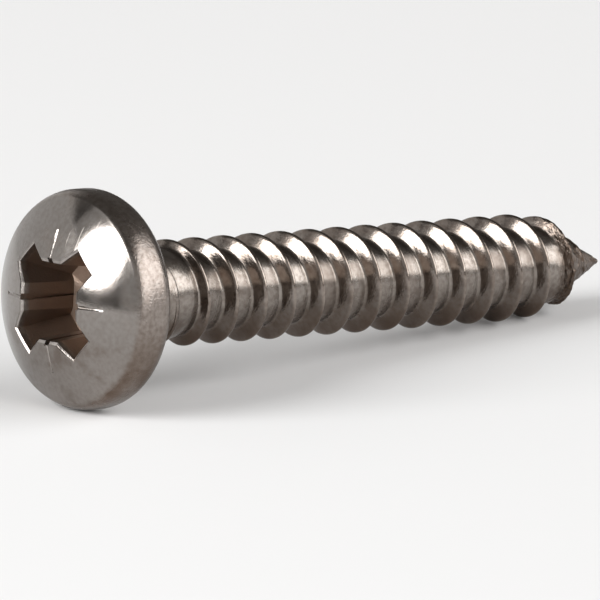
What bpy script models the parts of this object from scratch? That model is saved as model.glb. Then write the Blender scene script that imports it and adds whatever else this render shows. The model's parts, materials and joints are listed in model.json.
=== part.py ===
"""Sheet metal screw: pan head, cross recess with four marker lines, tapping thread, sharp point.

The screw is modelled upright in its own frame, with the bearing face of the head at z = 0, the
head above it and the shank below it, and it is then laid down on the rim of its head and the
crest of its last full thread, as a loose screw lies on a bench.
"""

from math import acos, asin, atan2, ceil, cos, pi, radians, sin, sqrt, tan

import bmesh
import bpy
from mathutils import Matrix, Vector

MM = 0.001

# Head
HEAD_DIAMETER = 8.15 * MM
HEAD_HEIGHT = 3.0 * MM
CREASE_HEIGHT = 1.72 * MM
CREASE_INSET = 0.2 * MM
RIM_HEIGHT = 1.12 * MM
RIM_FILLET = 0.7 * MM
NECK_FILLET = 0.2 * MM

# Shank and thread
LENGTH = 24.3 * MM
NECK_DIAMETER = 3.5 * MM
THREAD_DIAMETER = 3.98 * MM
CORE_DIAMETER = 3.0 * MM
THREAD_PITCH = 1.4 * MM
CREST_WIDTH = 0.1 * MM
FLANK_ANGLE = radians(30)
FOOT_BLEND = 0.03 * MM
THREAD_START = 1.75 * MM
NECK_LENGTH = 2.2 * MM
NECK_TAPER_LENGTH = 2.2 * MM
RUN_OUT_TURNS = 0.6
CREST_AT_TOP = 0.24 * MM

# Point
CORE_POINT_ANGLE = radians(52)
CREST_TAPER_LENGTH = 4.4 * MM
CREST_TAPER_POWER = 1.6
TIP_DIAMETER = 0.2 * MM
TIP_CONE_HEIGHT = 0.05 * MM
THREAD_END = 1.2 * MM
POINT_RUN_OUT_TURNS = 1.2

# Cross recess
RECESS_DIAMETER = 4.5 * MM
RECESS_DEPTH = 2.5 * MM
RECESS_TURN = radians(48)
WING_WIDTH = 1.02 * MM
WALL_ANGLE = radians(5)
SQUARE_WIDTH = 2.8 * MM
LAND_WIDTH = 1.0 * MM
FLUTE_WIDTH = 0.24 * MM
FLUTE_REACH = 1.6 * MM
FLOOR_CONE_DEPTH = 0.22 * MM
WING_END_LEAD_IN = 0.08 * MM
WING_SIDE_LEAD_IN = 0.12 * MM
LAND_LEAD_IN = 0.2 * MM
FLUTE_LEAD_IN = 0.05 * MM
LEAD_IN_STEEPNESS = 1.8
PUNCH_LIFT = 0.1 * MM
PUNCH_CROWN = 0.5 * MM

# Marker lines
MARKER_OUTER_RADIUS = 2.65 * MM
MARKER_WIDTH = 0.14 * MM
MARKER_DEPTH = 0.07 * MM

# Facets of the round forms; the first edge lies half a facet from the top
SEGMENTS = 48
FIRST_EDGE = 0.5
DOME_ROWS = 7
BAND_ROWS = 3
EDGE_ROWS = 4
NECK_ROWS = 2
MARKER_STATIONS = 5
SHARP_ANGLE = radians(20)
TILT_STEPS = 8

# Steel
STEEL_COLOUR = (0.47, 0.44, 0.41, 1.0)
STEEL_ROUGHNESS = 0.28

HEAD_RADIUS = HEAD_DIAMETER / 2
CREASE_RADIUS = HEAD_RADIUS - CREASE_INSET
NECK_RADIUS = NECK_DIAMETER / 2
CORE_RADIUS = CORE_DIAMETER / 2
CREST_RADIUS = THREAD_DIAMETER / 2
TIP_RADIUS = TIP_DIAMETER / 2
CONE_END = LENGTH - TIP_CONE_HEIGHT
SQUARE_CORNER = SQUARE_WIDTH / sqrt(2)


def clear_scene():
    for item in list(bpy.data.objects):
        bpy.data.objects.remove(item, do_unlink=True)


def steel_material():
    material = bpy.data.materials.new("stainless_steel")
    material.use_nodes = True
    shader = material.node_tree.nodes["Principled BSDF"]
    shader.inputs["Base Color"].default_value = STEEL_COLOUR
    shader.inputs["Metallic"].default_value = 1.0
    shader.inputs["Roughness"].default_value = STEEL_ROUGHNESS
    return material


def smooth_step(value):
    """Rises from 0 to 1 without a corner at either end."""
    value = min(max(value, 0.0), 1.0)
    return value * value * (3 - 2 * value)


def turns(step):
    """How far a facet's edge lies round the screw: flat facets face the top and the bottom."""
    return (step + FIRST_EDGE) / SEGMENTS


def sphere_radius(half_chord, rise):
    """The radius of the arc that rises by this much over half its chord."""
    return (half_chord**2 + rise**2) / (2 * rise)


DOME_RADIUS = sphere_radius(CREASE_RADIUS, HEAD_HEIGHT - CREASE_HEIGHT)
BAND_RADIUS = sphere_radius(CREASE_HEIGHT - RIM_HEIGHT, CREASE_INSET)


def around(step, radius, depth):
    """A point on the screw, at a depth below the bearing face; the angle runs clockwise."""
    angle = 2 * pi * turns(step)
    return Vector((radius * cos(angle), -radius * sin(angle), -depth))


def arc(centre_radius, centre_height, radius, start, end, rows):
    """Points (radius, height) of a profile's arc, after its first point, up to its last one."""
    points = []
    for row in range(1, rows + 1):
        angle = start + (end - start) * row / rows
        points.append((centre_radius + radius * cos(angle), centre_height + radius * sin(angle)))
    return points


def head_profile():
    """(radius, height) from the dome, over the crease and the rim's band, to the neck."""
    dome_end = acos(CREASE_RADIUS / DOME_RADIUS)
    band_start = asin((CREASE_HEIGHT - RIM_HEIGHT) / BAND_RADIUS)
    points = arc(0, HEAD_HEIGHT - DOME_RADIUS, DOME_RADIUS, pi / 2, dome_end, DOME_ROWS)
    points += arc(HEAD_RADIUS - BAND_RADIUS, RIM_HEIGHT, BAND_RADIUS, band_start, 0, BAND_ROWS)
    points.append((HEAD_RADIUS, RIM_FILLET))
    points += arc(HEAD_RADIUS - RIM_FILLET, RIM_FILLET, RIM_FILLET, 0, -pi / 2, EDGE_ROWS)
    points.append((NECK_RADIUS + NECK_FILLET, 0))
    points += arc(NECK_RADIUS + NECK_FILLET, -NECK_FILLET, NECK_FILLET, pi / 2, pi, NECK_ROWS)
    return points


def core_radius(depth):
    """The root of the thread: the neck, the core and the cone of the point."""
    taper = smooth_step((depth - NECK_LENGTH) / NECK_TAPER_LENGTH)
    shank = NECK_RADIUS + (CORE_RADIUS - NECK_RADIUS) * taper
    cone = TIP_RADIUS + (CONE_END - depth) * tan(CORE_POINT_ANGLE / 2)
    return min(shank, cone)


def crest_radius(depth):
    """The crest of the thread, which curves down to the tip over the point."""
    short_of_full = max(0.0, 1 - (CONE_END - depth) / CREST_TAPER_LENGTH)
    return CREST_RADIUS - (CREST_RADIUS - TIP_RADIUS) * short_of_full**CREST_TAPER_POWER


def thread_steps():
    """The facet steps of the thread's ridge, from its start to its end."""
    first = ceil((THREAD_START - CREST_AT_TOP) / THREAD_PITCH * SEGMENTS)
    last = int((LENGTH - THREAD_END - CREST_AT_TOP) / THREAD_PITCH * SEGMENTS)
    return first, last


def ridge_height(step, first, last, depth):
    """The height of the ridge over the core, faded in at the neck and out at the point."""
    rise = smooth_step((step - first) / (RUN_OUT_TURNS * SEGMENTS))
    fall = smooth_step((last - step) / (POINT_RUN_OUT_TURNS * SEGMENTS))
    return max(0.0, crest_radius(depth) - core_radius(depth)) * rise * fall


def ridge_section(mesh, step, first, last):
    """The four vertices of the ridge's section at a step: foot, crest, crest, foot."""
    depth = CREST_AT_TOP + THREAD_PITCH * turns(step)
    height = ridge_height(step, first, last, depth)
    half_crest = CREST_WIDTH / 2
    half_foot = half_crest + FOOT_BLEND + height * tan(FLANK_ANGLE)
    half_foot = min(half_foot, THREAD_PITCH / 2 - half_crest)
    section = []
    crest = core_radius(depth) + height
    for offset in (-half_foot, -half_crest, half_crest, half_foot):
        place = depth + offset
        radius = crest if abs(offset) == half_crest else core_radius(place)
        section.append(mesh.verts.new(around(step, radius, place)))
    return section


def ring(mesh, radius, depth):
    return [mesh.verts.new(around(step, radius, depth)) for step in range(SEGMENTS)]


def bridge(mesh, upper, lower):
    """The band of quads between two rings of the same screw."""
    for step in range(SEGMENTS):
        after = (step + 1) % SEGMENTS
        mesh.faces.new((upper[step], lower[step], lower[after], upper[after]))


def fan(mesh, hub, chain):
    """Triangles from one vertex to each stretch of a chain of vertices."""
    for index in range(len(chain) - 1):
        mesh.faces.new((hub, chain[index], chain[index + 1]))


def add_head(mesh):
    """The head as a turned profile; returns the ring where it runs into the neck."""
    profile = head_profile()
    upper = ring(mesh, profile[0][0], -profile[0][1])
    fan(mesh, mesh.verts.new((0, 0, HEAD_HEIGHT)), upper + upper[:1])
    for radius, height in profile[1:]:
        lower = ring(mesh, radius, -height)
        bridge(mesh, upper, lower)
        upper = lower
    return upper


def add_ridge(mesh, sections):
    """The two flanks and the crest of the thread, and the root between its turns."""
    for index in range(len(sections) - 1):
        here = sections[index]
        after = sections[index + 1]
        for column in range(3):
            mesh.faces.new((here[column], here[column + 1], after[column + 1], after[column]))
    for index in range(SEGMENTS, len(sections) - 1):
        above = sections[index - SEGMENTS][3]
        above_after = sections[index - SEGMENTS + 1][3]
        mesh.faces.new((above, sections[index][0], sections[index + 1][0], above_after))


def close_at_neck(mesh, neck, sections, first):
    """The band from the neck's ring to the first turn, with the start of the ridge in its seam."""
    for index in range(SEGMENTS - 1):
        upper = neck[(first + index) % SEGMENTS]
        upper_after = neck[(first + index + 1) % SEGMENTS]
        mesh.faces.new((upper, sections[index][0], sections[index + 1][0], upper_after))
    seam = [sections[SEGMENTS - 1][0], sections[SEGMENTS][0]]
    seam += list(reversed(sections[0]))
    seam.append(neck[first % SEGMENTS])
    fan(mesh, neck[(first - 1) % SEGMENTS], seam)


def close_at_point(mesh, sections, last):
    """The band from the last turn to the tip, with the end of the ridge in its seam."""
    end_depth = CREST_WIDTH - sections[-1][3].co.z
    start = len(sections) - 1 - SEGMENTS
    upper = ring(mesh, core_radius(end_depth), end_depth)
    for index in range(1, SEGMENTS):
        here = sections[start + index][3]
        after = sections[start + index + 1][3]
        below = upper[(last + index) % SEGMENTS]
        below_after = upper[(last + index + 1) % SEGMENTS]
        mesh.faces.new((here, below, below_after, after))
    seam = [sections[start][3]]
    seam += sections[-1]
    seam += [upper[last % SEGMENTS], upper[(last + 1) % SEGMENTS]]
    fan(mesh, sections[start + 1][3], seam)
    lower = ring(mesh, TIP_RADIUS, CONE_END)
    bridge(mesh, upper, lower)
    tip = mesh.verts.new((0, 0, -LENGTH))
    fan(mesh, tip, lower + lower[:1])


def screw_blank():
    """The head, the neck and the threaded shank as one closed skin, before the recess."""
    mesh = bmesh.new()
    neck = add_head(mesh)
    first, last = thread_steps()
    sections = [ridge_section(mesh, step, first, last) for step in range(first, last + 1)]
    close_at_neck(mesh, neck, sections, first)
    add_ridge(mesh, sections)
    close_at_point(mesh, sections, last)
    bmesh.ops.triangulate(mesh, faces=mesh.faces[:])
    bmesh.ops.recalc_face_normals(mesh, faces=mesh.faces[:])
    return mesh_object("sheet_metal_screw", mesh)


def mesh_object(name, mesh):
    data = bpy.data.meshes.new(name)
    mesh.to_mesh(data)
    mesh.free()
    item = bpy.data.objects.new(name, data)
    bpy.context.scene.collection.objects.link(item)
    return item


def dome_height(radius):
    return HEAD_HEIGHT - DOME_RADIUS + sqrt(DOME_RADIUS**2 - radius**2)


def recess_outline(depth, floor_depth):
    """The recess at a depth below its edge: four wings, the square between them and its flutes."""
    wall = depth * tan(WALL_ANGLE)
    half_wing = WING_WIDTH / 2 - wall / 2
    half_square = SQUARE_WIDTH / 2 - wall
    half_flute = FLUTE_WIDTH / 2 - wall / 2
    flute_reach = FLUTE_REACH - wall
    half_land = LAND_WIDTH / 2
    narrowing = RECESS_DIAMETER / 2 - (SQUARE_CORNER - WING_WIDTH / 2)
    reach = RECESS_DIAMETER / 2 - narrowing * depth / floor_depth
    points = []
    for quarter in range(4):
        turn = Matrix.Rotation(RECESS_TURN + quarter * pi / 2, 3, "Z")
        to_marker = turn @ Matrix.Rotation(pi / 4, 3, "Z")
        points.append(turn @ Vector((reach, -half_wing, 0)))
        points.append(turn @ Vector((reach, half_wing, 0)))
        points.append(to_marker @ Vector((half_square, -half_land, 0)))
        points.append(to_marker @ Vector((half_square, -half_flute, 0)))
        points.append(to_marker @ Vector((flute_reach, -half_flute, 0)))
        points.append(to_marker @ Vector((flute_reach, half_flute, 0)))
        points.append(to_marker @ Vector((half_square, half_flute, 0)))
        points.append(to_marker @ Vector((half_square, half_land, 0)))
    return points


def lead_in_widths(lift):
    """The width of the sloping edge along each side of the outline, continued by the lift."""
    beyond = lift / LEAD_IN_STEEPNESS
    wing_side = WING_SIDE_LEAD_IN + beyond
    land = LAND_LEAD_IN + beyond
    quarter = [WING_END_LEAD_IN + beyond, wing_side, land, 0, FLUTE_LEAD_IN + beyond, 0, land, wing_side]
    return quarter * 4


def moved_out(outline, widths):
    """The outline with the side after each corner moved outwards by its width."""
    moved = []
    for index, point in enumerate(outline):
        before = (point - outline[index - 1]).normalized()
        after = (outline[(index + 1) % len(outline)] - point).normalized()
        outwards = before * widths[index] - after * widths[index - 1]
        moved.append(point + outwards / before.cross(after).z)
    return moved


def recess_loops():
    """The outlines of the punch: above the dome, under its sloping edge and at the floor."""
    edge_height = dome_height(RECESS_DIAMETER / 2)
    floor_height = HEAD_HEIGHT - RECESS_DEPTH
    edge = recess_outline(0, edge_height - floor_height)
    top = moved_out(edge, lead_in_widths(PUNCH_LIFT))
    for point in top:
        point.z = dome_height(point.xy.length) + PUNCH_LIFT
    widths = lead_in_widths(0)
    for index, point in enumerate(edge):
        wider = max(widths[index - 1], widths[index])
        point.z = dome_height(point.xy.length) - wider * LEAD_IN_STEEPNESS
    floor = recess_outline(edge_height - floor_height, edge_height - floor_height)
    for point in floor:
        point.z = floor_height
    return top, edge, floor


def recess_cutter():
    """The punch of the cross recess, from above the dome to the shallow cone of its floor."""
    mesh = bmesh.new()
    loops = [[mesh.verts.new(point) for point in loop] for loop in recess_loops()]
    for upper, lower in zip(loops, loops[1:]):
        for index in range(len(upper)):
            after = (index + 1) % len(upper)
            mesh.faces.new((upper[index], lower[index], lower[after], upper[after]))
    fan(mesh, mesh.verts.new((0, 0, HEAD_HEIGHT + PUNCH_CROWN)), loops[0] + loops[0][:1])
    floor_centre = (0, 0, HEAD_HEIGHT - RECESS_DEPTH - FLOOR_CONE_DEPTH)
    fan(mesh, mesh.verts.new(floor_centre), loops[-1] + loops[-1][:1])
    bmesh.ops.triangulate(mesh, faces=mesh.faces[:])
    bmesh.ops.recalc_face_normals(mesh, faces=mesh.faces[:])
    return mesh_object("recess_cutter", mesh)


def marker_cutter():
    """Four V-shaped lines on the dome, half way between the wings of the recess."""
    mesh = bmesh.new()
    inner = SQUARE_WIDTH / 2
    for quarter in range(4):
        turn = Matrix.Rotation(RECESS_TURN + pi / 4 + quarter * pi / 2, 3, "Z")
        before = None
        for station in range(MARKER_STATIONS + 1):
            radius = inner + (MARKER_OUTER_RADIUS - inner) * station / MARKER_STATIONS
            height = dome_height(radius)
            section = []
            for side in (0, MARKER_WIDTH, -MARKER_WIDTH):
                lift = MARKER_DEPTH if side else -MARKER_DEPTH
                section.append(mesh.verts.new(turn @ Vector((radius, side, height + lift))))
            if before is None:
                mesh.faces.new(section)
            else:
                for index in range(3):
                    after = (index + 1) % 3
                    mesh.faces.new((before[index], before[after], section[after], section[index]))
            before = section
        mesh.faces.new(before)
    bmesh.ops.recalc_face_normals(mesh, faces=mesh.faces[:])
    return mesh_object("marker_cutter", mesh)


def cut(body, cutter):
    cutter.hide_render = True
    cutter.display_type = "WIRE"
    cutter.parent = body
    modifier = body.modifiers.new(cutter.name, "BOOLEAN")
    modifier.operation = "DIFFERENCE"
    modifier.solver = "EXACT"
    modifier.object = cutter


def laid_down(tilt):
    """The turn that lays the screw along +X, its point lower than its head by the tilt."""
    towards_head = Vector((-cos(tilt), 0, sin(tilt)))
    upwards = Vector((sin(tilt), 0, cos(tilt)))
    sideways = towards_head.cross(upwards)
    return Matrix((upwards, sideways, towards_head)).transposed().to_4x4()


def resting_tilt(points):
    """The tilt at which the head's rim and the thread both touch the bench."""
    tilt = 0.0
    for _ in range(TILT_STEPS):
        turn = laid_down(tilt)
        heel = min((turn @ point for point in points if point.z > 0), key=lambda point: point.z)
        shank = [turn @ point for point in points if point.z < 0]
        tilt += min(atan2(point.z - heel.z, point.x - heel.x) for point in shank)
    return tilt


def lay_down(body):
    """Puts the origin under the middle of the screw's box, on the bench."""
    points = [vertex.co.copy() for vertex in body.data.vertices]
    turn = laid_down(resting_tilt(points))
    placed = [turn @ point for point in points]
    middle = (min(point.x for point in placed) + max(point.x for point in placed)) / 2
    lowest = min(point.z for point in placed)
    body.matrix_world = Matrix.Translation((-middle, 0, -lowest)) @ turn


def main():
    clear_scene()
    screw = screw_blank()
    screw.data.materials.append(steel_material())
    cut(screw, recess_cutter())
    cut(screw, marker_cutter())
    screw.data.shade_smooth()
    screw.data.set_sharp_from_angle(angle=SHARP_ANGLE)
    lay_down(screw)
    bpy.context.view_layer.update()


main()
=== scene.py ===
"""Looks of the sheet metal screw: a finer skin of the same form, its steel, the studio and the camera.

The skin is modelled upright in the screw's own frame, as the solid is: the bearing face of the
head at z = 0, the head above it and the shank below it. The record's mount says how the screw lies.
"""

import json
from math import acos, asin, ceil, cos, hypot, pi, radians, sin, sqrt, tan

import bmesh
import bpy
from mathutils import Matrix, Vector, noise


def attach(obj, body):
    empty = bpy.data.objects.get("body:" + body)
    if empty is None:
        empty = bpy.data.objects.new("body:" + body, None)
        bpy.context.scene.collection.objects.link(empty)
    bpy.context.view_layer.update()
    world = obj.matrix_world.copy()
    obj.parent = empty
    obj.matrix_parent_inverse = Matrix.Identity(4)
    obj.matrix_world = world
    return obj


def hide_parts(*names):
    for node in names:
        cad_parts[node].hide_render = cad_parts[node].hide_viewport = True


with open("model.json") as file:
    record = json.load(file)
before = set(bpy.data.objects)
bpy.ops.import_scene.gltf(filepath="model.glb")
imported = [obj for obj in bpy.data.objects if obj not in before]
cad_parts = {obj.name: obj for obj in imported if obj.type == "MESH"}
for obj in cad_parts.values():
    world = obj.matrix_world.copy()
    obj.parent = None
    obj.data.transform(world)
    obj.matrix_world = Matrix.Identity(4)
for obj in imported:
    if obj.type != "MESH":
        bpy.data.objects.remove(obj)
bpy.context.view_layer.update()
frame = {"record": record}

MM = 0.001
NODE = "sheet_metal_screw"

# Head
HEAD_DIAMETER = 8.15 * MM
HEAD_HEIGHT = 2.98 * MM
CREASE_HEIGHT = 1.72 * MM
CREASE_INSET = 0.2 * MM
CREASE_ROUNDING = 0.035 * MM
RIM_HEIGHT = 1.12 * MM
RIM_FILLET = 0.7 * MM
NECK_FILLET = 0.2 * MM

# Shank and thread
LENGTH = 24.3 * MM
NECK_DIAMETER = 3.5 * MM
THREAD_DIAMETER = 3.98 * MM
CORE_DIAMETER = 2.94 * MM
THREAD_PITCH = 1.4 * MM
CREST_WIDTH = 0.1 * MM
CREST_ROUNDING = 0.03 * MM
ROOT_ROUNDING = 0.035 * MM
FLANK_ANGLE = radians(27)
THREAD_START = 1.75 * MM
NECK_LENGTH = 2.2 * MM
NECK_TAPER_LENGTH = 2.2 * MM
RUN_OUT_TURNS = 0.6
CREST_AT_TOP = 0.24 * MM

# Point
CORE_POINT_ANGLE = radians(52)
CREST_TAPER_LENGTH = 4.4 * MM
CREST_TAPER_POWER = 1.6
TIP_DIAMETER = 0.2 * MM
TIP_CONE_HEIGHT = 0.05 * MM
THREAD_END = 1.0 * MM
POINT_RUN_OUT_TURNS = 0.8

# The fuller last turn: its middle, its reach and its fullness, as shares of the crest's taper
LOBE_MIDDLE = 0.34
LOBE_REACH = 0.19
LOBE_FULLNESS = 0.6

# Cross recess and marker lines
RECESS_DIAMETER = 4.5 * MM
RECESS_DEPTH = 2.5 * MM
RECESS_TURN = radians(48)
WING_WIDTH = 1.02 * MM
WALL_ANGLE = radians(5)
SQUARE_WIDTH = 2.8 * MM
LAND_WIDTH = 1.0 * MM
FLUTE_WIDTH = 0.24 * MM
FLUTE_REACH = 1.6 * MM
FLOOR_CONE_DEPTH = 0.22 * MM
WING_END_LEAD_IN = 0.1 * MM
WING_SIDE_LEAD_IN = 0.12 * MM
LAND_LEAD_IN = 0.2 * MM
FLUTE_LEAD_IN = 0.05 * MM
LEAD_IN_STEEPNESS = 1.8
PUNCH_LIFT = 0.1 * MM
PUNCH_CROWN = 0.5 * MM
MARKER_OUTER_RADIUS = 2.65 * MM
MARKER_WIDTH = 0.14 * MM
MARKER_DEPTH = 0.07 * MM
MARKER_FADE = 0.6
SHARP_MARGIN = 0.1 * MM

# Wear: waves all over, and lumps left by the rolling at the point, up to a share of the radius
WAVE_DEPTH = 0.006 * MM
WAVE_LENGTH = 1.3 * MM
ROUGH_START = 20.9 * MM
ROUGH_FADE = 0.7 * MM
LUMP_DEPTH = 0.06 * MM
LUMP_LENGTH = 0.2 * MM
LUMP_DIMENSION = 1.0
LUMP_LACUNARITY = 2.0
LUMP_OCTAVES = 3
MOST_WORN = 0.4

# Steps of the fine skin; the solid has SOLID_SEGMENTS facets and the skin lies inside them
SOLID_SEGMENTS = 48
SEGMENTS = 144
DOME_ROWS = 20
BAND_ROWS = 10
RIM_ROWS = 10
NECK_ROWS = 5
NECK_RINGS = 4
POINT_ROWS = 16
OUTLINE_STEP = 0.12 * MM
MARKER_STATIONS = 12
SHARP_ANGLE = radians(18)

# Points across the thread, as shares of the root from its middle and of the flank from its foot
ROOT_SHARES = (1.0, 0.62, 0.38, 0.22, 0.1)
FLANK_SHARES = (1.0, 0.86, 0.68, 0.42, 0.2, 0.08)

# The rounded edge of the recess, as shares of its width and of its depth
LEAD_IN_PROFILE = ((1.0, 0.0), (0.25, 0.33), (0.1, 0.62), (0.0, 1.0))

# Colours of the steel
DOME_STEEL = (0.29, 0.268, 0.25, 1.0)
RIM_STEEL = (0.31, 0.272, 0.246, 1.0)
FLANK_STEEL = (0.25, 0.22, 0.197, 1.0)
CREST_STEEL = (0.32, 0.277, 0.244, 1.0)
ROOT_STEEL = (0.32, 0.288, 0.26, 1.0)
EDGE_STEEL = (0.42, 0.39, 0.365, 1.0)
RECESS_FILM = (0.3, 0.229, 0.184, 1.0)
POINT_FILM = (0.1, 0.07, 0.052, 1.0)
# A dark brown film for the random patches and mottles, also used as painted shade on the side that lies
# underneath
FILM_AND_PAINTED_SHADE = (0.12, 0.086, 0.066, 1.0)

# Roughness of the steel
DOME_ROUGHNESS = 0.13
RIM_ROUGHNESS = 0.27
EDGE_ROUGHNESS = 0.3
ROOT_ROUGHNESS = 0.26
FLANK_ROUGHNESS = 0.16
POINT_ROUGHNESS = 0.33
RECESS_ROUGHNESS = 0.42

# Depths of the fine relief
DOME_GRAIN = 0.0012 * MM
RIM_GRAIN = 0.011 * MM
EDGE_GRAIN = 0.012 * MM
RECESS_GRAIN = 0.005 * MM
THREAD_GRAIN = 0.003 * MM
POINT_GRAIN = 0.01 * MM
POINT_RIPPLES = 0.17 * MM
THREAD_STREAKS = 0.003 * MM
DOME_SCRATCHES = 0.001 * MM

# Patterns of noise: how often each repeats in a metre, in all directions or in each
CLOUD_SCALE = 900.0
MOTTLE_SCALE = 6000.0
GRAIN_SCALE = 12000.0
RIPPLE_SCALE = (3000, 3000, 9000)
STREAK_SCALE = (900, 900, 16000)
SCRATCH_SCALE = (400, 12000, 400)
SCRATCH_TURN = radians(35)

# Zones of the steel by height on the upright screw: where each starts and where it is full
HEAD_ZONE = (-0.1 * MM, 0.1 * MM)
DOME_ZONE = (CREASE_HEIGHT - 0.13 * MM, CREASE_HEIGHT + 0.09 * MM)
POINT_ZONE = (-ROUGH_START, -ROUGH_START - ROUGH_FADE)

# The zone of painted shade: darker on the side that is underneath when the screw lies, by height over its
# axis
PAINTED_SHADE_ZONE = (0.0, -1.8 * MM)

# Zones by depth below the dome, in millimetres
EDGE_ZONE = (0.02, 0.06)
RECESS_ZONE = (0.22, 0.4)

# Zones by share of the thread's height
FLANK_ZONE = (0.03, 0.2)
SMOOTH_ZONE = (0.05, 0.3)
CREST_ZONE = (0.82, 0.98)

# Patches: the stretch of the noise that each takes, and what it carries that stretch to
THREAD_PATCHES = (0.4, 0.7, 0.0, 0.4)
DOME_PATCHES = (0.5, 0.7, 0.0, 0.5)
# Patches in which the painted shade underneath shows
PAINTED_SHADE_PATCHES = (0.35, 0.65, 0.6, 1.0)
ROUGH_PATCHES = (0.35, 0.65, -0.02, 0.04)
POINT_STAINS = (0.05, 0.35, 0.6, 1.0)
MOTTLES = (0.3, 0.75, 0.0, 0.5)
SCRATCHES = (0.7, 0.76, 0.0, 1.0)

# How strongly the mottles and the painted shade underneath show on the dome
DOME_MOTTLE = 0.5
DOME_PAINTED_SHADE = 0.17

# Camera: the point in the middle of the picture, the direction of view and the lens
VIEW_MIDDLE = Vector((-5.2254 * MM, -4.705 * MM, 3.8869 * MM))
VIEW_AZIMUTH = radians(41.1445)
VIEW_ELEVATION = radians(13.7082)
VIEW_DISTANCE = 900 * MM
VIEW_LENS = 1475.28
NEAREST_SEEN = 10 * MM
FARTHEST_SEEN = 10000 * MM

# Studio
FLOOR_SIZE = 6000 * MM
FLOOR_COLOUR = (0.84, 0.84, 0.84, 1.0)
FLOOR_ROUGHNESS = 0.9
WORLD_COLOUR = (0.12, 0.114, 0.108, 1.0)

# Lamps: degrees right of the direction of view and degrees above the floor, seen from the screw
LEFT_BOX = {"azimuth": -120, "elevation": 27.0, "half_angle": 17.8, "distance": 700 * MM, "radiance": 9.8}
LEFT_HALO = {"azimuth": -118, "elevation": 33, "half_angle": 27, "distance": 720 * MM, "radiance": 0.4}
RIGHT_BOX = {"azimuths": (72, 152), "elevations": (8, 52), "distance": 800 * MM, "radiance": 3.4}
LEFT_CARD = {"azimuths": (-95, -10), "elevations": (0, 37), "distance": 1000 * MM, "radiance": 0.62}
FRONT_CARD = {"azimuths": (153, 217), "elevations": (2, 42), "distance": 1000 * MM, "radiance": 0.45}

# Radii inside the solid's facets, and what else follows from the sizes
INSIDE = cos(pi / SOLID_SEGMENTS)
SKIN_INSET = 0.008 * MM
HEAD_RADIUS = HEAD_DIAMETER / 2 * INSIDE - SKIN_INSET
CREASE_RADIUS = HEAD_RADIUS - CREASE_INSET
NECK_RADIUS = NECK_DIAMETER / 2 * INSIDE
CORE_RADIUS = CORE_DIAMETER / 2 * INSIDE
CREST_RADIUS = THREAD_DIAMETER / 2 * INSIDE
TIP_RADIUS = TIP_DIAMETER / 2
CONE_END = LENGTH - TIP_CONE_HEIGHT
SQUARE_CORNER = SQUARE_WIDTH / sqrt(2)
RECESS_FLOOR = HEAD_HEIGHT - RECESS_DEPTH
RECESS_BOTTOM = RECESS_FLOOR - FLOOR_CONE_DEPTH


def sphere_radius(half_chord, rise):
    """The radius of the arc that rises by this much over half its chord."""
    return (half_chord**2 + rise**2) / (2 * rise)


DOME_RADIUS = sphere_radius(CREASE_RADIUS, HEAD_HEIGHT - CREASE_HEIGHT)
BAND_RADIUS = sphere_radius(CREASE_HEIGHT - RIM_HEIGHT, CREASE_INSET)


def smooth_step(value):
    """Rises from 0 to 1 without a corner at either end."""
    value = min(max(value, 0.0), 1.0)
    return value * value * (3 - 2 * value)


def soft_positive(value, rounding):
    """The value where it is positive and nothing where it isn't, with a rounded corner."""
    return (value + sqrt(value * value + rounding * rounding)) / 2


def around(turn, radius, depth):
    """A point on the screw, at a depth below the bearing face; the turn runs clockwise."""
    angle = 2 * pi * turn
    return Vector((radius * cos(angle), -radius * sin(angle), -depth))


def arc(centre_radius, centre_height, radius, start, end, rows):
    """Points (radius, height) of a profile's arc, after its first point, up to its last one."""
    points = []
    for row in range(1, rows + 1):
        angle = start + (end - start) * row / rows
        points.append((centre_radius + radius * cos(angle), centre_height + radius * sin(angle)))
    return points


def head_profile():
    """(radius, height) from the dome, over the crease and the rim's band, to the neck."""
    dome_end = acos(CREASE_RADIUS / DOME_RADIUS) + CREASE_ROUNDING / DOME_RADIUS
    band_start = asin((CREASE_HEIGHT - RIM_HEIGHT) / BAND_RADIUS) - CREASE_ROUNDING / BAND_RADIUS
    dome_shoulder = dome_end + CREASE_ROUNDING / DOME_RADIUS
    band_shoulder = band_start - CREASE_ROUNDING / BAND_RADIUS
    band_centre = HEAD_RADIUS - BAND_RADIUS
    points = arc(0, HEAD_HEIGHT - DOME_RADIUS, DOME_RADIUS, pi / 2, dome_shoulder, DOME_ROWS)
    points += arc(0, HEAD_HEIGHT - DOME_RADIUS, DOME_RADIUS, dome_shoulder, dome_end, 1)
    points += arc(band_centre, RIM_HEIGHT, BAND_RADIUS, band_start, band_shoulder, 1)
    points += arc(band_centre, RIM_HEIGHT, BAND_RADIUS, band_shoulder, 0, BAND_ROWS)
    points.append((HEAD_RADIUS, RIM_FILLET))
    points += arc(HEAD_RADIUS - RIM_FILLET, RIM_FILLET, RIM_FILLET, 0, -pi / 2, RIM_ROWS)
    points.append((NECK_RADIUS + NECK_FILLET, 0))
    points += arc(NECK_RADIUS + NECK_FILLET, -NECK_FILLET, NECK_FILLET, pi / 2, pi, NECK_ROWS)
    plain_neck = THREAD_START - THREAD_PITCH / 2 - 2 * NECK_FILLET
    for ring in range(1, NECK_RINGS + 1):
        points.append((NECK_RADIUS, -NECK_FILLET - plain_neck * ring / NECK_RINGS))
    return points


def core_radius(depth):
    """The root of the thread: the neck, the core and the cone of the point."""
    taper = smooth_step((depth - NECK_LENGTH) / NECK_TAPER_LENGTH)
    shank = NECK_RADIUS + (CORE_RADIUS - NECK_RADIUS) * taper
    cone = TIP_RADIUS + (CONE_END - depth) * tan(CORE_POINT_ANGLE / 2)
    return min(shank, cone)


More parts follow.
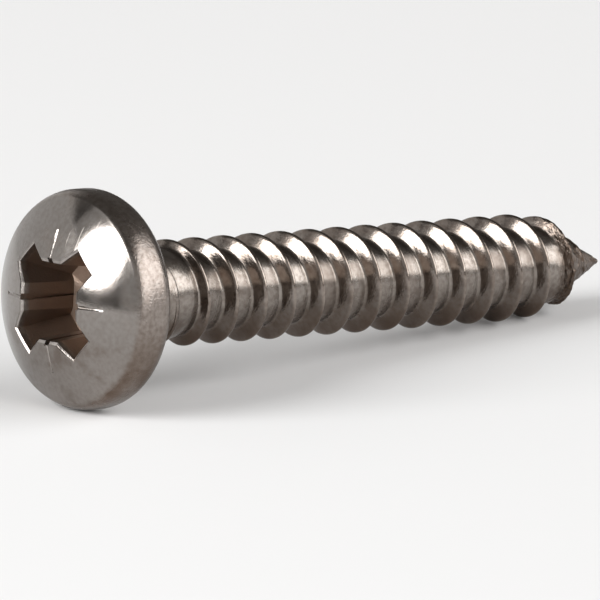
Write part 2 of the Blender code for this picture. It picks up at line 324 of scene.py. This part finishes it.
def crest_radius(depth):
    """The crest of the thread, which curves down to the tip, with a fuller last turn."""
    short_of_full = max(0.0, 1 - (CONE_END - depth) / CREST_TAPER_LENGTH)
    lobe = smooth_step(1 - abs(short_of_full - LOBE_MIDDLE) / LOBE_REACH)
    fall = short_of_full**CREST_TAPER_POWER * (1 - LOBE_FULLNESS * lobe)
    return CREST_RADIUS - (CREST_RADIUS - TIP_RADIUS) * fall


def thread_steps():
    """The steps at which the thread's ridge starts and ends."""
    first = ceil((THREAD_START - CREST_AT_TOP) / THREAD_PITCH * SEGMENTS)
    last = int((LENGTH - THREAD_END - CREST_AT_TOP) / THREAD_PITCH * SEGMENTS)
    return first, last


def ridge_height(step, first, last, depth):
    """The height of the ridge over the core, faded in at the neck and out at the point."""
    rise = smooth_step((step - first) / (RUN_OUT_TURNS * SEGMENTS))
    fall = smooth_step((last - step) / (POINT_RUN_OUT_TURNS * SEGMENTS))
    return max(0.0, crest_radius(depth) - core_radius(depth)) * rise * fall


def half_section(height):
    """(offset, lift) from the middle of the root to the crest, for one side of the ridge."""
    corner = CREST_WIDTH / 2
    foot = corner + max(height * tan(FLANK_ANGLE), CREST_ROUNDING)
    root = THREAD_PITCH / 2
    offsets = [foot + (root - foot) * share for share in ROOT_SHARES]
    offsets += [corner + (foot - corner) * share for share in FLANK_SHARES]
    offsets += [corner - CREST_ROUNDING / 2, 0.0]
    section = []
    for offset in offsets:
        flank = soft_positive((foot - offset) / tan(FLANK_ANGLE), ROOT_ROUNDING)
        lift = height - soft_positive(height - flank, CREST_ROUNDING)
        section.append((offset, max(lift, 0.0)))
    return section


def thread_section(step, first, last):
    """The points of the skin at a step, from the root above the crest to the root below it."""
    turn = step / SEGMENTS
    depth = CREST_AT_TOP + THREAD_PITCH * turn
    height = ridge_height(step, first, last, depth)
    half = half_section(height)
    sides = [(-offset, lift) for offset, lift in half]
    sides += [(offset, lift) for offset, lift in reversed(half[1:-1])]
    crest_core = core_radius(depth)
    points = []
    for offset, lift in sides:
        share = lift / height if height else 0
        core = core_radius(depth + offset)
        radius = core + (crest_core + height - core) * share
        points.append(around(turn, radius, depth + offset))
    return points


def strip_faces(faces, upper, lower):
    """The quads between two rings that have as many vertices."""
    for index in range(len(upper)):
        after = (index + 1) % len(upper)
        faces.append((upper[index], lower[index], lower[after], upper[after]))


def fan(faces, hub, chain):
    """Triangles from one vertex to each stretch of a chain of vertices."""
    for index in range(len(chain) - 1):
        faces.append((hub, chain[index], chain[index + 1]))


class Skin:
    """Vertices and faces gathered before they become one mesh."""

    def __init__(self):
        self.vertices = []
        self.faces = []

    def add(self, point):
        self.vertices.append(point)
        return len(self.vertices) - 1

    def ring(self, radius, depth):
        return [self.add(around(step / SEGMENTS, radius, depth)) for step in range(SEGMENTS)]


def add_head(skin):
    """The head as a turned profile; returns the ring where it runs into the neck."""
    profile = head_profile()
    upper = skin.ring(profile[0][0], -profile[0][1])
    fan(skin.faces, skin.add(Vector((0, 0, HEAD_HEIGHT))), upper + upper[:1])
    for radius, height in profile[1:]:
        lower = skin.ring(radius, -height)
        strip_faces(skin.faces, upper, lower)
        upper = lower
    return upper


def add_thread(skin, sections):
    """The skin of the thread: each section ends where the section one turn on begins."""
    for index in range(len(sections) - 1):
        here = list(sections[index])
        after = list(sections[index + 1])
        if index + 1 + SEGMENTS < len(sections):
            here.append(sections[index + SEGMENTS][0])
            after.append(sections[index + 1 + SEGMENTS][0])
        for column in range(len(here) - 1):
            skin.faces.append((here[column], here[column + 1], after[column + 1], after[column]))


def close_at_neck(skin, neck, sections, first):
    """The band from the neck's ring to the first turn, with the start of the ridge in its seam."""
    for index in range(SEGMENTS - 1):
        upper = neck[(first + index) % SEGMENTS]
        upper_after = neck[(first + index + 1) % SEGMENTS]
        skin.faces.append((upper, sections[index][0], sections[index + 1][0], upper_after))
    seam = [sections[SEGMENTS - 1][0], sections[SEGMENTS][0]]
    seam += list(reversed(sections[0]))
    seam.append(neck[first % SEGMENTS])
    fan(skin.faces, neck[(first - 1) % SEGMENTS], seam)


def close_at_point(skin, sections, last):
    """The band from the last turn to the tip, with the end of the ridge in its seam."""
    end_depth = CREST_WIDTH - skin.vertices[sections[-1][-1]].z
    start = len(sections) - 1 - SEGMENTS
    upper = skin.ring(core_radius(end_depth), end_depth)
    for index in range(1, SEGMENTS):
        below = upper[(last + index) % SEGMENTS]
        below_after = upper[(last + index + 1) % SEGMENTS]
        here = sections[start + index][-1]
        skin.faces.append((here, below, below_after, sections[start + index + 1][-1]))
    seam = [sections[start][-1]]
    seam += sections[-1]
    seam += [upper[last % SEGMENTS], upper[(last + 1) % SEGMENTS]]
    fan(skin.faces, sections[start + 1][-1], seam)
    for row in range(1, POINT_ROWS + 1):
        depth = end_depth + (CONE_END - end_depth) * row / POINT_ROWS
        lower = skin.ring(core_radius(depth), depth)
        strip_faces(skin.faces, upper, lower)
        upper = lower
    fan(skin.faces, skin.add(Vector((0, 0, -LENGTH))), upper + upper[:1])


def worn(point):
    """The point moved inwards a little: shallow waves all over, and lumps at the screw's point."""
    waves = WAVE_DEPTH * (1 + noise.noise(point / WAVE_LENGTH)) / 2
    if point.z >= 0:
        return point * (1 - waves / HEAD_RADIUS)
    radius = hypot(point.x, point.y)
    rough = smooth_step((-point.z - ROUGH_START) / ROUGH_FADE)
    fractal = noise.fractal(point / LUMP_LENGTH, LUMP_DIMENSION, LUMP_LACUNARITY, LUMP_OCTAVES)
    lumps = (1 + fractal) / 2
    inwards = 2 * waves + rough * LUMP_DEPTH * min(max(lumps, 0.0), 1.0)
    share = 1 - min(inwards / max(radius, TIP_RADIUS), MOST_WORN)
    return Vector((point.x * share, point.y * share, point.z))


def screw_blank():
    """The head, the neck and the threaded shank as one closed skin, before the recess."""
    skin = Skin()
    neck = add_head(skin)
    first, last = thread_steps()
    sections = []
    for step in range(first, last + 1):
        sections.append([skin.add(point) for point in thread_section(step, first, last)])
    close_at_neck(skin, neck, sections, first)
    add_thread(skin, sections)
    close_at_point(skin, sections, last)
    skin.vertices = [worn(point) for point in skin.vertices]
    return mesh_object("screw_skin", skin)


def mesh_object(name, skin):
    """One object from the gathered vertices and faces, with its faces pointing out."""
    data = bpy.data.meshes.new(name)
    data.from_pydata([tuple(point) for point in skin.vertices], [], skin.faces)
    mesh = bmesh.new()
    mesh.from_mesh(data)
    bmesh.ops.recalc_face_normals(mesh, faces=mesh.faces[:])
    mesh.to_mesh(data)
    mesh.free()
    item = bpy.data.objects.new(name, data)
    bpy.context.scene.collection.objects.link(item)
    return item


def dome_height(radius):
    return HEAD_HEIGHT - DOME_RADIUS + sqrt(DOME_RADIUS**2 - radius**2)


def recess_outline(depth, floor_depth):
    """The recess at a depth below its edge: four wings, the square between them and its flutes."""
    wall = depth * tan(WALL_ANGLE)
    half_wing = WING_WIDTH / 2 - wall / 2
    half_square = SQUARE_WIDTH / 2 - wall
    half_flute = FLUTE_WIDTH / 2 - wall / 2
    half_land = LAND_WIDTH / 2
    narrowing = RECESS_DIAMETER / 2 - (SQUARE_CORNER - WING_WIDTH / 2)
    reach = RECESS_DIAMETER / 2 - narrowing * depth / floor_depth
    points = []
    for quarter in range(4):
        wing = Matrix.Rotation(RECESS_TURN + quarter * pi / 2, 3, "Z")
        marker = wing @ Matrix.Rotation(pi / 4, 3, "Z")
        points.append(wing @ Vector((reach, -half_wing, 0)))
        points.append(wing @ Vector((reach, half_wing, 0)))
        points.append(marker @ Vector((half_square, -half_land, 0)))
        points.append(marker @ Vector((half_square, -half_flute, 0)))
        points.append(marker @ Vector((FLUTE_REACH - wall, -half_flute, 0)))
        points.append(marker @ Vector((FLUTE_REACH - wall, half_flute, 0)))
        points.append(marker @ Vector((half_square, half_flute, 0)))
        points.append(marker @ Vector((half_square, half_land, 0)))
    return points


def lead_in_widths():
    """The width of the rounded edge along each side of the outline."""
    quarter = [WING_END_LEAD_IN, WING_SIDE_LEAD_IN, LAND_LEAD_IN, 0]
    quarter += [FLUTE_LEAD_IN, 0, LAND_LEAD_IN, WING_SIDE_LEAD_IN]
    return quarter * 4


def moved_out(outline, widths):
    """The outline with the side after each corner moved outwards by its width."""
    moved = []
    for index, point in enumerate(outline):
        before = (point - outline[index - 1]).normalized()
        after = (outline[(index + 1) % len(outline)] - point).normalized()
        outwards = before * widths[index] - after * widths[index - 1]
        moved.append(point + outwards / before.cross(after).z)
    return moved


def divided(corners, values, counts):
    """The outline with each side divided into its count of stretches, and a value for each."""
    points = []
    for index, point in enumerate(corners):
        after = (index + 1) % len(corners)
        for stretch in range(counts[index]):
            share = stretch / counts[index]
            value = values[index] + (values[after] - values[index]) * share
            points.append((point.lerp(corners[after], share), value))
    return points


def stretches(outline):
    """How many stretches each side of the outline is divided into."""
    counts = []
    for index, point in enumerate(outline):
        side = (outline[(index + 1) % len(outline)] - point).length
        counts.append(max(1, round(side / OUTLINE_STEP)))
    return counts


def edge_loop(outline, counts, width_share, depth_share, lift):
    """One outline of the recess's edge, this share of the way out and down from the dome."""
    widths = lead_in_widths()
    sinks = [max(widths[index - 1], widths[index]) * LEAD_IN_STEEPNESS for index in range(len(widths))]
    beyond = lift / LEAD_IN_STEEPNESS
    moves = [width * width_share + beyond if width else 0 for width in widths]
    loop = []
    for point, sink in divided(moved_out(outline, moves), sinks, counts):
        height = dome_height(hypot(point.x, point.y)) + lift - sink * depth_share
        loop.append(Vector((point.x, point.y, height)))
    return loop


def recess_loops():
    """The outlines of the punch, from above the dome over its broken edge to its floor."""
    full_depth = dome_height(RECESS_DIAMETER / 2) - RECESS_FLOOR
    outline = recess_outline(0, full_depth)
    counts = stretches(outline)
    loops = [edge_loop(outline, counts, 1.0, 0.0, PUNCH_LIFT)]
    for width_share, depth_share in LEAD_IN_PROFILE:
        loops.append(edge_loop(outline, counts, width_share, depth_share, 0))
    floor = recess_outline(full_depth, full_depth)
    heights = [RECESS_FLOOR] * len(floor)
    floor_points = divided(floor, heights, counts)
    loops.append([Vector((point.x, point.y, height)) for point, height in floor_points])
    return loops


def recess_cutter():
    """The punch of the cross recess, from above the dome to the shallow cone of its floor."""
    skin = Skin()
    loops = [[skin.add(point) for point in loop] for loop in recess_loops()]
    for upper, lower in zip(loops, loops[1:]):
        strip_faces(skin.faces, upper, lower)
    fan(skin.faces, skin.add(Vector((0, 0, HEAD_HEIGHT + PUNCH_CROWN))), loops[0] + loops[0][:1])
    fan(skin.faces, skin.add(Vector((0, 0, RECESS_BOTTOM))), loops[-1] + loops[-1][:1])
    return mesh_object("recess_cutter", skin)


def marker_cutter():
    """Four V-shaped lines on the dome, half way between the wings of the recess, fading outwards."""
    skin = Skin()
    inner = SQUARE_WIDTH / 2
    for quarter in range(4):
        turn = Matrix.Rotation(RECESS_TURN + pi / 4 + quarter * pi / 2, 3, "Z")
        before = None
        for station in range(MARKER_STATIONS + 1):
            share = station / MARKER_STATIONS
            radius = inner + (MARKER_OUTER_RADIUS - inner) * share
            depth = MARKER_DEPTH * (1 - MARKER_FADE * share * share)
            section = []
            for side, lift in ((0, -depth), (MARKER_WIDTH, depth), (-MARKER_WIDTH, depth)):
                height = dome_height(hypot(radius, side))
                section.append(skin.add(turn @ Vector((radius, side, height + lift))))
            if before is None:
                skin.faces.append(tuple(section))
            else:
                strip_faces(skin.faces, before, section)
            before = section
        skin.faces.append(tuple(before))
    return mesh_object("marker_cutter", skin)


def cut(body, cutter):
    """Cuts the cutter out of the body for good, and removes the cutter."""
    modifier = body.modifiers.new(cutter.name, "BOOLEAN")
    modifier.operation = "DIFFERENCE"
    modifier.solver = "EXACT"
    modifier.object = cutter
    graph = bpy.context.evaluated_depsgraph_get()
    cut_mesh = bpy.data.meshes.new_from_object(body.evaluated_get(graph))
    body.modifiers.clear()
    body.data = cut_mesh
    bpy.data.objects.remove(cutter, do_unlink=True)


def screw_pose():
    """How the screw lies: the matrix from its own frame to the row's, from the record's mount."""
    mount = frame["record"]["mounts"][0]
    towards_head = -Vector(mount["axis"])
    upwards = Vector((-towards_head.z * towards_head.x, 0, 1 - towards_head.z**2)).normalized()
    sideways = towards_head.cross(upwards)
    ring_radius = (NECK_DIAMETER / 2 + NECK_FILLET + HEAD_DIAMETER / 2 - RIM_FILLET) / 2
    origin = Vector(mount["pos_m"]) - upwards * ring_radius
    turn = Matrix((upwards, sideways, towards_head)).transposed().to_4x4()
    return Matrix.Translation(origin) @ turn


def round_recess(edge):
    """Whether an edge lies in the recess, in a marker line or close round them."""
    heights = [vertex.co.z for vertex in edge.verts]
    radii = [hypot(vertex.co.x, vertex.co.y) for vertex in edge.verts]
    return min(heights) > RECESS_BOTTOM and max(radii) < MARKER_OUTER_RADIUS + SHARP_MARGIN


def sharpen_head(screw):
    """Smooth shading, with sharp edges round the recess and the marker lines."""
    mesh = bmesh.new()
    mesh.from_mesh(screw.data)
    for face in mesh.faces:
        face.smooth = True
    for edge in mesh.edges:
        edge.smooth = not (round_recess(edge) and edge.calc_face_angle(0) > SHARP_ANGLE)
    mesh.to_mesh(screw.data)
    mesh.free()


def make_screw():
    screw = screw_blank()
    cut(screw, recess_cutter())
    cut(screw, marker_cutter())
    sharpen_head(screw)
    mark_zones(screw)
    screw.data.transform(screw_pose())
    return screw


def dome_shortfall(point):
    """How far a point of the head lies below the dome, or nothing where it lies outside it."""
    radius = hypot(point.x, point.y)
    if radius > MARKER_OUTER_RADIUS or point.z < RECESS_BOTTOM:
        return 0.0
    return max(0.0, dome_height(radius) - point.z)


def ridge_lift(point):
    """How far up the thread's ridge a point of the shank lies, from 0 in the root to 1."""
    radius = hypot(point.x, point.y)
    core = core_radius(-point.z)
    height = crest_radius(-point.z) - core
    if height < CREST_ROUNDING or point.z > -THREAD_START:
        return 0.0
    return min(max((radius - core) / height, 0.0), 1.0)


def mark_zones(screw):
    """Writes down where each vertex lies on the upright screw, below its dome and on its thread."""
    mesh = screw.data
    points = [vertex.co.copy() for vertex in mesh.vertices]
    upright = mesh.attributes.new("upright", "FLOAT_VECTOR", "POINT")
    upright.data.foreach_set("vector", [number for point in points for number in point])
    recess = mesh.attributes.new("recess", "FLOAT", "POINT")
    recess.data.foreach_set("value", [dome_shortfall(point) / MM for point in points])
    ridge = mesh.attributes.new("ridge", "FLOAT", "POINT")
    ridge.data.foreach_set("value", [ridge_lift(point) for point in points])


class Nodes:
    """Adds nodes to one material, each wired as it is made."""

    def __init__(self, name):
        self.material = bpy.data.materials.new(name)
        self.material.use_nodes = True
        self.tree = self.material.node_tree
        self.shader = self.tree.nodes["Principled BSDF"]

    def add(self, kind, **settings):
        node = self.tree.nodes.new(kind)
        for key, value in settings.items():
            setattr(node, key, value)
        return node

    def wire(self, source, target):
        self.tree.links.new(source, target)

    def feed(self, socket, value):
        if hasattr(value, "is_output"):
            self.wire(value, socket)
        else:
            socket.default_value = value

    def math(self, operation, first, second=0.0, third=0.0):
        node = self.add("ShaderNodeMath", operation=operation)
        for socket, value in zip(node.inputs, (first, second, third)):
            self.feed(socket, value)
        return node.outputs[0]

    def ramp(self, value, low, high, start=0.0, end=1.0):
        """The value carried from low..high to start..end and held at both ends."""
        node = self.add("ShaderNodeMapRange", interpolation_type="SMOOTHSTEP")
        self.feed(node.inputs["Value"], value)
        node.inputs["From Min"].default_value = low
        node.inputs["From Max"].default_value = high
        node.inputs["To Min"].default_value = start
        node.inputs["To Max"].default_value = end
        return node.outputs["Result"]

    def mix(self, share, first, second):
        node = self.add("ShaderNodeMix", data_type="RGBA")
        self.feed(node.inputs["Factor"], share)
        self.feed(node.inputs["A"], first)
        self.feed(node.inputs["B"], second)
        return node.outputs["Result"]

    def blend(self, share, first, second):
        node = self.add("ShaderNodeMix", data_type="FLOAT")
        self.feed(node.inputs["Factor"], share)
        self.feed(node.inputs["A"], first)
        self.feed(node.inputs["B"], second)
        return node.outputs["Result"]

    def attribute(self, name):
        return self.add("ShaderNodeAttribute", attribute_name=name).outputs["Fac"]

    def stretched(self, vector, scale, turn=0.0):
        node = self.add("ShaderNodeMapping")
        self.wire(vector, node.inputs["Vector"])
        node.inputs["Scale"].default_value = scale
        node.inputs["Rotation"].default_value = (0.0, 0.0, turn)
        return node.outputs["Vector"]

    def noise(self, vector, scale, detail=3.0):
        node = self.add("ShaderNodeTexNoise")
        self.wire(vector, node.inputs["Vector"])
        node.inputs["Scale"].default_value = scale
        node.inputs["Detail"].default_value = detail
        return node.outputs["Fac"]


def thread_colour(steel, zones):
    """Bright in the root and on the crest, duller on the flank, with a film in patches and painted shade
    underneath.
    """
    colour = steel.mix(steel.ramp(zones["ridge"], *FLANK_ZONE), ROOT_STEEL, FLANK_STEEL)
    colour = steel.mix(steel.ramp(zones["ridge"], *CREST_ZONE), colour, CREST_STEEL)
    colour = steel.mix(steel.ramp(zones["cloud"], *THREAD_PATCHES), colour, FILM_AND_PAINTED_SHADE)
    # Painted shade: darker brown on the side that lies underneath
    colour = steel.mix(zones["under"], colour, FILM_AND_PAINTED_SHADE)
    stains = steel.ramp(zones["mottle"], *POINT_STAINS)
    return steel.mix(steel.math("MULTIPLY", zones["point"], stains), colour, POINT_FILM)


def head_colour(steel, zones):
    """Grey on the dome, browner on the rim, darker brown underneath as painted shade, bright on the edge
    of the recess.
    """
    dull = steel.ramp(zones["cloud"], *DOME_PATCHES)
    polished = steel.math("SUBTRACT", zones["dome"], dull)
    # Painted shade: rim and dome turn darker brown on the side that lies underneath
    rim = steel.mix(zones["under"], RIM_STEEL, FILM_AND_PAINTED_SHADE)
    colour = steel.mix(polished, rim, DOME_STEEL)
    colour = steel.mix(steel.math("MULTIPLY", zones["under"], DOME_PAINTED_SHADE), colour, FILM_AND_PAINTED_SHADE)
    return steel.mix(zones["edge"], colour, EDGE_STEEL)


def steel_colour(steel, zones):
    """The head and the thread, mottled all over, with a brown film in the recess."""
    colour = steel.mix(zones["head"], thread_colour(steel, zones), head_colour(steel, zones))
    mottled = steel.math("MULTIPLY", zones["mottle"], steel.blend(zones["dome"], 1.0, DOME_MOTTLE))
    colour = steel.mix(mottled, colour, FILM_AND_PAINTED_SHADE)
    return steel.mix(zones["recess"], colour, RECESS_FILM)


def steel_roughness(steel, zones):
    """Polished on the dome, smooth on the flanks and crests, coarser on the rim, dull in the recess."""
    head = steel.blend(zones["dome"], RIM_ROUGHNESS, DOME_ROUGHNESS)
    head = steel.blend(zones["edge"], head, EDGE_ROUGHNESS)
    thread = steel.ramp(zones["ridge"], *SMOOTH_ZONE, ROOT_ROUGHNESS, FLANK_ROUGHNESS)
    rough = steel.blend(zones["head"], thread, head)
    rough = steel.blend(zones["point"], rough, POINT_ROUGHNESS)
    rough = steel.blend(zones["recess"], rough, RECESS_ROUGHNESS)
    return steel.math("ADD", rough, steel.ramp(zones["cloud"], *ROUGH_PATCHES))


def grain_depth(steel, zones):
    """How deep the grain is: finest on the dome, coarsest on the rim and the recess's edge."""
    depth = steel.blend(zones["dome"], RIM_GRAIN, DOME_GRAIN)
    depth = steel.blend(zones["head"], THREAD_GRAIN, depth)
    depth = steel.blend(zones["recess"], depth, RECESS_GRAIN)
    depth = steel.blend(zones["edge"], depth, EDGE_GRAIN)
    return steel.blend(zones["point"], depth, POINT_GRAIN)


def steel_relief(steel, zones, place):
    """Grain all over, ripples at the point, streaks on the thread and scratches on the dome."""
    grain = steel.noise(place, GRAIN_SCALE, 2.0)
    relief = steel.math("MULTIPLY", grain, grain_depth(steel, zones))
    ripples = steel.noise(steel.stretched(place, RIPPLE_SCALE), 1.0, 3.0)
    ripple_depth = steel.blend(zones["point"], 0.0, POINT_RIPPLES)
    relief = steel.math("MULTIPLY_ADD", ripples, ripple_depth, relief)
    streaks = steel.noise(steel.stretched(place, STREAK_SCALE), 1.0, 2.0)
    streak_depth = steel.blend(zones["head"], THREAD_STREAKS, 0.0)
    relief = steel.math("MULTIPLY_ADD", streaks, streak_depth, relief)
    scratches = steel.noise(steel.stretched(place, SCRATCH_SCALE, SCRATCH_TURN), 1.0, 1.0)
    scratched = steel.math("MULTIPLY", steel.ramp(scratches, *SCRATCHES), zones["dome"])
    return steel.math("MULTIPLY_ADD", scratched, -DOME_SCRATCHES, relief)


def steel_zones(steel, place):
    """Where on the screw a point lies, and its patches and mottles, each from 0 to 1."""
    split = steel.add("ShaderNodeSeparateXYZ")
    steel.wire(place, split.inputs[0])
    height = split.outputs["Z"]
    below_dome = steel.attribute("recess")
    cloud = steel.noise(place, CLOUD_SCALE)
    # Painted shade: darker towards the side that lies underneath, in patches
    under = steel.ramp(split.outputs["X"], *PAINTED_SHADE_ZONE)
    return {
        "head": steel.ramp(height, *HEAD_ZONE),
        "dome": steel.ramp(height, *DOME_ZONE),
        "point": steel.ramp(height, *POINT_ZONE),
        "recess": steel.ramp(below_dome, *RECESS_ZONE),
        "edge": steel.ramp(below_dome, *EDGE_ZONE),
        "ridge": steel.attribute("ridge"),
        "under": steel.math("MULTIPLY", under, steel.ramp(cloud, *PAINTED_SHADE_PATCHES)),
        "mottle": steel.ramp(steel.noise(place, MOTTLE_SCALE, 5.0), *MOTTLES),
        "cloud": cloud,
    }


def steel_material():
    """Tumbled stainless steel, which varies with the zones of the screw."""
    steel = Nodes("screw_steel")
    place = steel.add("ShaderNodeAttribute", attribute_name="upright").outputs["Vector"]
    zones = steel_zones(steel, place)
    steel.wire(steel_colour(steel, zones), steel.shader.inputs["Base Color"])
    steel.wire(steel_roughness(steel, zones), steel.shader.inputs["Roughness"])
    steel.shader.inputs["Metallic"].default_value = 1.0
    bump = steel.add("ShaderNodeBump")
    bump.inputs["Distance"].default_value = 1.0
    steel.wire(steel_relief(steel, zones, place), bump.inputs["Height"])
    steel.wire(bump.outputs[0], steel.shader.inputs["Normal"])
    return steel.material


def view_axes():
    """The picture's right, its up and the direction of view."""
    ahead = Vector((sin(VIEW_AZIMUTH), cos(VIEW_AZIMUTH), 0))
    right = Vector((cos(VIEW_AZIMUTH), -sin(VIEW_AZIMUTH), 0))
    view = ahead * cos(VIEW_ELEVATION) - Vector((0, 0, sin(VIEW_ELEVATION)))
    return right, right.cross(view), view


def add_camera():
    right, up, view = view_axes()
    data = bpy.data.cameras.new("camera")
    data.lens = VIEW_LENS
    data.clip_start = NEAREST_SEEN
    data.clip_end = FARTHEST_SEEN
    camera = bpy.data.objects.new("camera", data)
    turn = Matrix((right, up, -view)).transposed().to_4x4()
    camera.matrix_world = Matrix.Translation(VIEW_MIDDLE - view * VIEW_DISTANCE) @ turn
    bpy.context.scene.collection.objects.link(camera)
    bpy.context.scene.camera = camera


def add_floor():
    """A plain pale table top."""
    half = FLOOR_SIZE / 2
    data = bpy.data.meshes.new("floor")
    corners = [(-half, -half, 0), (half, -half, 0), (half, half, 0), (-half, half, 0)]
    data.from_pydata(corners, [], [(0, 1, 2, 3)])
    floor = bpy.data.objects.new("floor", data)
    bpy.context.scene.collection.objects.link(floor)
    paper = Nodes("pale_paper")
    paper.shader.inputs["Base Color"].default_value = FLOOR_COLOUR
    paper.shader.inputs["Roughness"].default_value = FLOOR_ROUGHNESS
    paper.shader.inputs["Specular IOR Level"].default_value = 0.0
    data.materials.append(paper.material)


def lamp_power(radiance, area):
    """The power that gives a lamp of this area this radiance."""
    return radiance * pi * area


def hang_lamp(data, outwards, place):
    """Puts a lamp in its place, where it shines against the direction outwards."""
    lamp = bpy.data.objects.new(data.name, data)
    turn = outwards.to_track_quat("Z", "Y").to_matrix().to_4x4()
    lamp.matrix_world = Matrix.Translation(place) @ turn
    bpy.context.scene.collection.objects.link(lamp)


def add_round_box(name, azimuth, elevation, half_angle, distance, radiance):
    """A round soft box that faces the screw, as wide as its half angle says."""
    angle = VIEW_AZIMUTH + radians(azimuth)
    rise = radians(elevation)
    outwards = Vector((sin(angle) * cos(rise), cos(angle) * cos(rise), sin(rise)))
    data = bpy.data.lights.new(name, "AREA")
    data.shape = "DISK"
    data.size = 2 * distance * tan(radians(half_angle))
    data.energy = lamp_power(radiance, pi * data.size**2 / 4)
    hang_lamp(data, outwards, outwards * distance)


def add_soft_box(name, azimuths, elevations, distance, radiance):
    """An upright soft box that spans these azimuths and elevations."""
    middle = VIEW_AZIMUTH + radians(sum(azimuths) / 2)
    bottom, top = (distance * tan(radians(elevation)) for elevation in elevations)
    outwards = Vector((sin(middle), cos(middle), 0))
    data = bpy.data.lights.new(name, "AREA")
    data.shape = "RECTANGLE"
    data.size = 2 * distance * tan(radians(azimuths[1] - azimuths[0]) / 2)
    data.size_y = top - bottom
    data.energy = lamp_power(radiance, data.size * data.size_y)
    hang_lamp(data, outwards, outwards * distance + Vector((0, 0, (top + bottom) / 2)))


def add_world():
    world = bpy.data.worlds.new("studio")
    world.use_nodes = True
    world.node_tree.nodes["Background"].inputs["Color"].default_value = WORLD_COLOUR
    bpy.context.scene.world = world


def main():
    screw = make_screw()
    screw.data.materials.clear()
    screw.data.materials.append(steel_material())
    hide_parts(NODE)
    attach(screw, "root")
    add_floor()
    add_world()
    add_round_box("left_box", **LEFT_BOX)
    add_round_box("left_halo", **LEFT_HALO)
    add_soft_box("right_box", **RIGHT_BOX)
    add_soft_box("left_card", **LEFT_CARD)
    add_soft_box("front_card", **FRONT_CARD)
    add_camera()
    bpy.context.scene.view_settings.view_transform = "Standard"


main()
